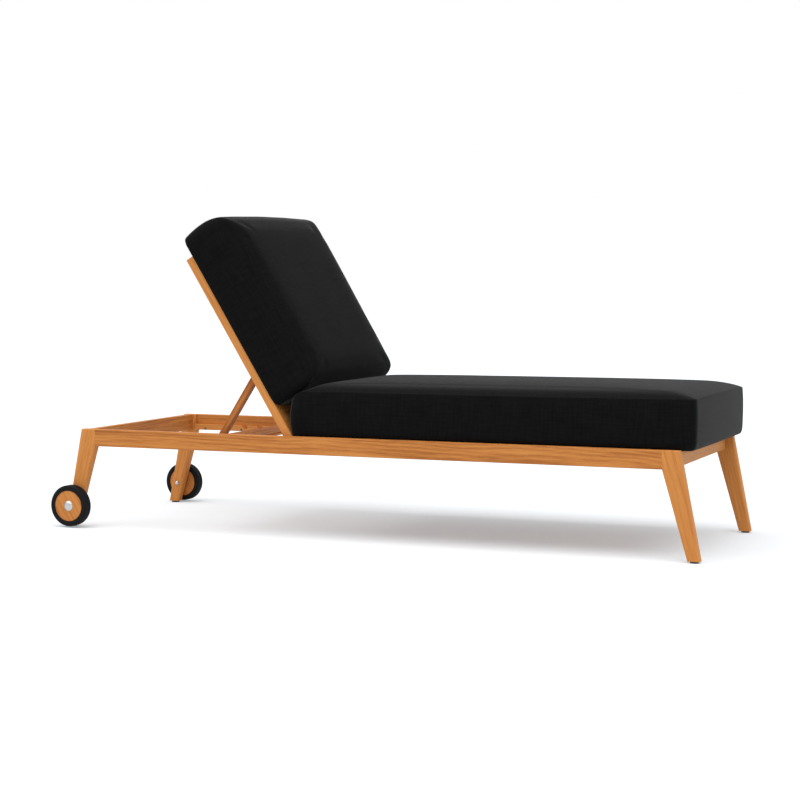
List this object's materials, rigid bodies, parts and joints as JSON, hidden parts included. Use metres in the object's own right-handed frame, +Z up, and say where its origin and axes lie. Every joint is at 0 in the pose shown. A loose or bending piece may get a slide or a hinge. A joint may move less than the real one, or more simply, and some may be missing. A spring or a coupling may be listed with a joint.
{
  "type": "chaise longue",
  "caption": "Teak chaise longue with a slatted frame, a backrest that a prop holds at steps, wheels at the head end, and dark box cushions.",
  "frame": {"origin": "on the floor, under the middle of the whole object in length and width", "axes": "+X along the bed towards the foot end, +Y across to the far side of the picture, +Z up"},
  "size_m": [2.0012, 0.7436, 0.9388],
  "materials": {
    "teak": "smooth oiled teak, satin",
    "cushion_fabric": "dark charcoal woven outdoor fabric, matt",
    "tyre_rubber": "black rubber, matt",
    "stainless_steel": "polished stainless steel",
    "insert_brass": "plain brass",
    "glide_plastic": "black moulded plastic",
    "bush_plastic": "off-white nylon"
  },
  "bodies": {
    "frame": {"side_rail_near": "teak", "seat_bearer_near": "teak", "rack_near": "teak", "leg_head_near": "teak", "leg_foot_near": "teak", "side_rail_far": "teak", "seat_bearer_far": "teak", "rack_far": "teak", "leg_head_far": "teak", "leg_foot_far": "teak", "head_rail": "teak", "foot_rail": "teak", "seat_slat_01": "teak", "seat_slat_02": "teak", "seat_slat_03": "teak", "seat_slat_04": "teak", "seat_slat_05": "teak", "seat_slat_06": "teak", "seat_slat_07": "teak", "seat_slat_08": "teak", "seat_slat_09": "teak", "seat_slat_10": "teak", "seat_slat_11": "teak", "stretcher_1": "teak", "stretcher_2": "teak", "loose_tenons": "teak", "leg_glides": "glide_plastic", "slat_screws": "stainless_steel", "strip_screws": "stainless_steel", "hinge_bolts": "stainless_steel", "hinge_inserts": "insert_brass", "hinge_spacers": "stainless_steel", "axle_bolts": "stainless_steel", "axle_washers": "stainless_steel", "axle_nuts": "stainless_steel", "seat_cushion": "cushion_fabric"},
    "backrest": {"back_stile_near": "teak", "back_stile_far": "teak", "back_bottom_rail": "teak", "back_top_rail": "teak", "back_slat_1": "teak", "back_slat_2": "teak", "back_slat_3": "teak", "back_slat_4": "teak", "back_slat_5": "teak", "back_slat_6": "teak", "prop_pivot_bolts": "stainless_steel", "prop_pivot_inserts": "insert_brass", "prop_pivot_washers": "stainless_steel", "back_cushion": "cushion_fabric"},
    "prop": {"prop_leg_near": "teak", "prop_leg_far": "teak", "prop_bar": "teak", "prop_rod": "teak"},
    "wheel_near": {"wheel_disc_near": "teak", "tyre_near": "tyre_rubber", "wheel_bush_near": "bush_plastic"},
    "wheel_far": {"wheel_disc_far": "teak", "tyre_far": "tyre_rubber", "wheel_bush_far": "bush_plastic"}
  },
  "joints": [
    {"name": "backrest_recline", "type": "hinge", "parent": "frame", "child": "backrest", "pos_m": [-0.21967, 0, 0.287], "axis": [0, 1, 0], "range_deg": [-58.3, 0]},
    {"name": "prop_swing", "type": "hinge", "parent": "backrest", "child": "prop", "pos_m": [-0.33817, 0, 0.47886], "axis": [0, 1, 0], "range_deg": [0, 110.3]},
    {"name": "wheel_near_spin", "type": "hinge", "parent": "frame", "child": "wheel_near", "pos_m": [-0.93807, -0.35, 0.0665], "axis": [0, 1, 0], "continuous": true},
    {"name": "wheel_far_spin", "type": "hinge", "parent": "frame", "child": "wheel_far", "pos_m": [-0.93807, 0.35, 0.0665], "axis": [0, 1, 0], "continuous": true}
  ],
  "couplings": [
    {"joint": "prop_swing", "follows": "backrest_recline", "ratio": -1.8898}
  ]
}
